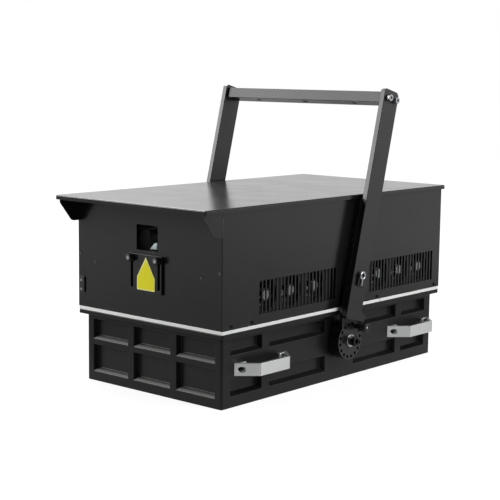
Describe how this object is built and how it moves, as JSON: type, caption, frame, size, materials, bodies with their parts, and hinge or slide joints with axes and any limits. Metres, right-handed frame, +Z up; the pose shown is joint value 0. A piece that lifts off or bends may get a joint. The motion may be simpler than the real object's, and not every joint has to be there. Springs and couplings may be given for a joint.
{
  "type": "laser light projector",
  "caption": "Laser light projector: pocketed tray, slotted hood with visor, sliding beam mask, strap handles, and a tilting yoke with index plates.",
  "frame": {"origin": "middle of the tray's underside", "axes": "-Y out of the beam aperture, +Z up, +X to the side with the safety eye"},
  "size_m": [0.4406, 0.7382, 0.5463],
  "materials": {
    "powder_coat": "satin",
    "tray_coat": "satin",
    "yoke_coat": "satin",
    "seal": "matte",
    "bright_aluminium": "brushed",
    "zinc_steel": "satin",
    "dark_steel": "satin",
    "black_plastic": "matte",
    "glass": "clear",
    "mirror": "polished",
    "machined_aluminium": "machined",
    "galvanised": "satin",
    "supply_case": "satin",
    "circuit_board": "satin",
    "display": "gloss",
    "red_anodised": "anodised",
    "green_anodised": "anodised",
    "blue_anodised": "anodised"
  },
  "bodies": {
    "housing": {"base_tray": "tray_coat", "seal_gasket": "seal", "top_cover": "powder_coat", "side_panel_right": "powder_coat", "side_panel_left": "powder_coat", "front_panel": "powder_coat", "rear_panel": "powder_coat", "exit_window": "glass", "edge_cover": "black_plastic", "fan_carrier_front": "black_plastic", "fan_carrier_rear": "black_plastic", "pivot_boss_right": "tray_coat", "pivot_boss_left": "tray_coat", "pivot_bolt_right": "zinc_steel", "pivot_bolt_left": "zinc_steel", "chassis_plate": "galvanised", "optical_deck": "machined_aluminium", "laser_red": "red_anodised", "laser_green": "green_anodised", "laser_blue": "blue_anodised", "combining_mirrors": "mirror", "scanner_block": "machined_aluminium", "power_supply": "supply_case", "control_board": "circuit_board", "power_entry": "black_plastic", "signal_entry": "dark_steel", "menu_display": "display", "handle_front_right": "bright_aluminium", "handle_rear_right": "bright_aluminium", "handle_front_left": "bright_aluminium", "handle_rear_left": "bright_aluminium"},
    "yoke": {"yoke_leg_right": "yoke_coat", "yoke_leg_left": "yoke_coat", "yoke_crossbar": "yoke_coat", "yoke_screw_right_front": "dark_steel", "yoke_screw_right_rear": "dark_steel", "yoke_screw_left_front": "dark_steel", "yoke_screw_left_rear": "dark_steel", "index_plate_right": "yoke_coat", "index_plate_left": "yoke_coat", "safety_eye": "zinc_steel"},
    "right_pull": {"pull_knob_right": "black_plastic"},
    "left_pull": {"pull_knob_left": "black_plastic"},
    "mask": {"mask_plate": "powder_coat"},
    "left_thumb": {"thumb_screw_left": "black_plastic"},
    "right_thumb": {"thumb_screw_right": "black_plastic"},
    "galvo_x": {"galvo_x_mirror": "mirror"},
    "galvo_y": {"galvo_y_mirror": "mirror"},
    "key": {"switch_key": "zinc_steel"},
    "rocker": {"power_rocker": "black_plastic"},
    "fan_1": {"fan_rotor_1": "black_plastic"},
    "fan_2": {"fan_rotor_2": "black_plastic"},
    "fan_3": {"fan_rotor_3": "black_plastic"},
    "fan_4": {"fan_rotor_4": "black_plastic"},
    "fan_5": {"fan_rotor_5": "black_plastic"},
    "fan_6": {"fan_rotor_6": "black_plastic"},
    "button_1": {"menu_button_1": "black_plastic"},
    "button_2": {"menu_button_2": "black_plastic"},
    "button_3": {"menu_button_3": "black_plastic"},
    "button_4": {"menu_button_4": "black_plastic"}
  },
  "joints": [
    {"name": "yoke_tilt", "type": "hinge", "parent": "housing", "child": "yoke", "pos_m": [0, 0.011, 0.076], "axis": [1, 0, 0], "range_deg": [-67.5, 45]},
    {"name": "right_pull_slide", "type": "slide", "parent": "yoke", "child": "right_pull", "axis": [1, 0, 0], "range_m": [-0.008, 0]},
    {"name": "left_pull_slide", "type": "slide", "parent": "yoke", "child": "left_pull", "axis": [1, 0, 0], "range_m": [0, 0.008]},
    {"name": "mask_slide", "type": "slide", "parent": "housing", "child": "mask", "axis": [0, 0, 1], "range_m": [0, 0.05]},
    {"name": "left_thumb_turn", "type": "hinge", "parent": "housing", "child": "left_thumb", "pos_m": [-0.0335, -0.332, 0.246], "axis": [0, 1, 0], "range_deg": [0, 360]},
    {"name": "right_thumb_turn", "type": "hinge", "parent": "housing", "child": "right_thumb", "pos_m": [0.0335, -0.332, 0.246], "axis": [0, 1, 0], "range_deg": [0, 360]},
    {"name": "fan_1_spin", "type": "hinge", "parent": "housing", "child": "fan_1", "pos_m": [0.16, -0.2049, 0.1866], "axis": [1, 0, 0], "continuous": true},
    {"name": "fan_2_spin", "type": "hinge", "parent": "housing", "child": "fan_2", "pos_m": [0.16, -0.1359, 0.1866], "axis": [1, 0, 0], "continuous": true},
    {"name": "fan_3_spin", "type": "hinge", "parent": "housing", "child": "fan_3", "pos_m": [0.16, -0.0669, 0.1866], "axis": [1, 0, 0], "continuous": true},
    {"name": "fan_4_spin", "type": "hinge", "parent": "housing", "child": "fan_4", "pos_m": [0.16, 0.135, 0.1866], "axis": [1, 0, 0], "continuous": true},
    {"name": "fan_5_spin", "type": "hinge", "parent": "housing", "child": "fan_5", "pos_m": [0.16, 0.204, 0.1866], "axis": [1, 0, 0], "continuous": true},
    {"name": "fan_6_spin", "type": "hinge", "parent": "housing", "child": "fan_6", "pos_m": [0.16, 0.273, 0.1866], "axis": [1, 0, 0], "continuous": true},
    {"name": "galvo_x_turn", "type": "hinge", "parent": "housing", "child": "galvo_x", "pos_m": [0, -0.304, 0.2665], "axis": [0, 1, 0], "range_deg": [-20, 20]},
    {"name": "galvo_y_turn", "type": "hinge", "parent": "housing", "child": "galvo_y", "pos_m": [0, -0.304, 0.2829], "axis": [1, 0, 0], "range_deg": [-20, 20]},
    {"name": "key_turn", "type": "hinge", "parent": "housing", "child": "key", "pos_m": [0.036, 0.332, 0.2002], "axis": [0, 1, 0], "range_deg": [0, 90]},
    {"name": "rocker_tilt", "type": "hinge", "parent": "housing", "child": "rocker", "pos_m": [0.08, 0.3278, 0.2002], "axis": [1, 0, 0], "range_deg": [-24, 0]},
    {"name": "button_1_press", "type": "slide", "parent": "housing", "child": "button_1", "axis": [0, -1, 0], "range_m": [0, 0.0012], "stiffness_N_per_m": 300},
    {"name": "button_2_press", "type": "slide", "parent": "housing", "child": "button_2", "axis": [0, -1, 0], "range_m": [0, 0.0012], "stiffness_N_per_m": 300},
    {"name": "button_3_press", "type": "slide", "parent": "housing", "child": "button_3", "axis": [0, -1, 0], "range_m": [0, 0.0012], "stiffness_N_per_m": 300},
    {"name": "button_4_press", "type": "slide", "parent": "housing", "child": "button_4", "axis": [0, -1, 0], "range_m": [0, 0.0012], "stiffness_N_per_m": 300}
  ]
}
